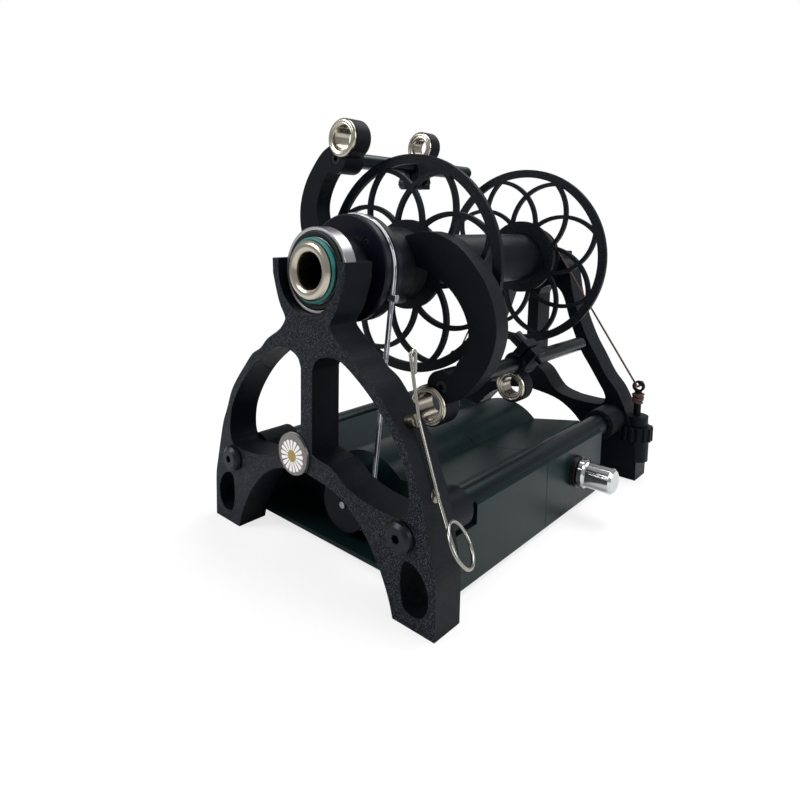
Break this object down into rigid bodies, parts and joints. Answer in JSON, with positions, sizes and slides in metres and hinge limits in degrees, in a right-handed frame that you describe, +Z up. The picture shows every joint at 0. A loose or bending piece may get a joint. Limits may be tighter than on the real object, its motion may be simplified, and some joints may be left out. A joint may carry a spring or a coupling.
{
  "type": "electric yarn spinner",
  "caption": "Desktop electric yarn spinner: two arched maidens on rails carry a motor-driven open flyer with sliding eyelets and a lattice bobbin over a low motor housing.",
  "frame": {"origin": "middle of the bounding box's footprint, on the table", "axes": "+Z up, -Y is the orifice end, +X is the speed knob and brake side"},
  "size_m": [0.15, 0.2212, 0.2018],
  "materials": {
    "black_print": "satin, fine layer texture",
    "shell_print": "satin, dark slate",
    "rail_tube": "black anodised",
    "black_screw": "black oxide",
    "bearing_steel": "ground",
    "nickel": "nickel plated",
    "bright_knob": "polished",
    "motor_steel": "zinc plated",
    "o_ring": "teal",
    "foot_rubber": "black",
    "clear_band": "clear stretch cord",
    "cord": "dark brown braided cord",
    "board": "circuit board",
    "switch_plastic": "black",
    "bush": "acetal",
    "wire": "bright wire",
    "magnet": "nickel plated",
    "disc": "grey with a printed flower",
    "rod_metal": "black anodised"
  },
  "bodies": {
    "stand": {"front_maiden": "black_print", "rear_maiden": "black_print", "rails": "rail_tube", "rail_bolts": "black_screw", "housing_front_shell": "shell_print", "housing_rear_shell": "shell_print", "housing_bottom_cover": "shell_print", "cover_screws": "black_screw", "rubber_feet": "foot_rubber", "motor_can": "motor_steel", "motor_screws": "black_screw", "drive_band": "clear_band", "control_board": "board", "power_inlet": "switch_plastic", "rocker_frame": "switch_plastic", "rocker_pin": "bearing_steel", "speed_pot": "switch_plastic", "pot_washer": "switch_plastic", "front_bearing_outer": "bearing_steel", "rear_bearing_outer": "bearing_steel", "brake_cord": "cord", "cord_anchor": "black_screw", "hook_magnets": "magnet"},
    "flyer": {"front_bearing_inner": "bearing_steel", "rear_bearing_inner": "bearing_steel", "orifice_grommet": "nickel", "orifice_o_ring": "o_ring", "orifice_tube": "black_print", "orifice_hub": "black_print", "drive_whorl": "black_print", "whorl_screws": "black_screw", "flyer_yoke": "black_print", "flyer_shaft": "bearing_steel", "upper_rod": "rod_metal", "lower_rod": "rod_metal", "rod_bolts": "black_screw", "fixed_grommets": "nickel"},
    "bobbin": {"bobbin_core": "black_print", "bobbin_front_flange": "black_print", "bobbin_rear_flange": "black_print", "bobbin_bushes": "bush"},
    "upper_slider": {"upper_eyelet": "black_print", "upper_eyelet_grommet": "nickel"},
    "upper_thumb_screw": {"upper_eyelet_screw": "black_screw"},
    "lower_slider": {"lower_eyelet": "black_print", "lower_eyelet_grommet": "nickel"},
    "lower_thumb_screw": {"lower_eyelet_screw": "black_screw"},
    "motor_rotor": {"motor_shaft": "bearing_steel", "motor_pulley": "black_print"},
    "direction_switch": {"direction_rocker": "switch_plastic"},
    "speed_control": {"speed_pot_shaft": "bearing_steel", "speed_knob": "bright_knob"},
    "brake_wheel": {"brake_thumbwheel": "black_print"},
    "brake_lift": {"brake_post": "black_print"},
    "hook": {"threading_hook": "wire"},
    "disc": {"parking_disc": "disc"}
  },
  "joints": [
    {"name": "flyer_spin", "type": "hinge", "parent": "stand", "child": "flyer", "pos_m": [-0.0055, 0, 0.1303], "axis": [0, 1, 0], "continuous": true},
    {"name": "bobbin_spin", "type": "hinge", "parent": "flyer", "child": "bobbin", "pos_m": [-0.0055, 0, 0.1303], "axis": [0, 1, 0], "continuous": true},
    {"name": "motor_spin", "type": "hinge", "parent": "stand", "child": "motor_rotor", "pos_m": [-0.0055, -0.0785, 0.0207], "axis": [0, 1, 0], "continuous": true},
    {"name": "upper_eyelet_slide", "type": "slide", "parent": "flyer", "child": "upper_slider", "axis": [0, 1, 0], "range_m": [-0.042, 0.044]},
    {"name": "upper_screw_turn", "type": "hinge", "parent": "upper_slider", "child": "upper_thumb_screw", "pos_m": [-0.03967, 0.0095, 0.17391], "axis": [1, 0, 0], "range_deg": [-180, 180]},
    {"name": "lower_eyelet_slide", "type": "slide", "parent": "flyer", "child": "lower_slider", "axis": [0, 1, 0], "range_m": [-0.045, 0.05]},
    {"name": "lower_screw_turn", "type": "hinge", "parent": "lower_slider", "child": "lower_thumb_screw", "pos_m": [0.03396, 0.0135, 0.08486], "axis": [-0.788, 0, 0.6157], "range_deg": [-180, 180]},
    {"name": "speed_turn", "type": "hinge", "parent": "stand", "child": "speed_control", "pos_m": [0.055, 0.0285, 0.022], "axis": [1, 0, 0], "range_deg": [-150, 150]},
    {"name": "direction_tilt", "type": "hinge", "parent": "stand", "child": "direction_switch", "pos_m": [-0.0646, 0.0185, 0.02], "axis": [0, 0, 1], "range_deg": [-8, 8]},
    {"name": "brake_wheel_turn", "type": "hinge", "parent": "stand", "child": "brake_wheel", "pos_m": [0.0605, 0.0985, 0.0275], "axis": [0, 0, 1], "range_deg": [-540, 540]},
    {"name": "brake_post_lift", "type": "slide", "parent": "stand", "child": "brake_lift", "axis": [0, 0, 1], "range_m": [-0.0012, 0.0012]},
    {"name": "hook_pull_off", "type": "slide", "parent": "stand", "child": "hook", "axis": [1, 0, 0], "range_m": [0, 0.03]},
    {"name": "disc_pull_off", "type": "slide", "parent": "stand", "child": "disc", "axis": [0, -1, 0], "range_m": [0, 0.03]}
  ],
  "couplings": [
    {"joint": "motor_spin", "follows": "flyer_spin", "ratio": 2},
    {"joint": "brake_post_lift", "follows": "brake_wheel_turn", "m_per_rad": 0.00012732}
  ]
}
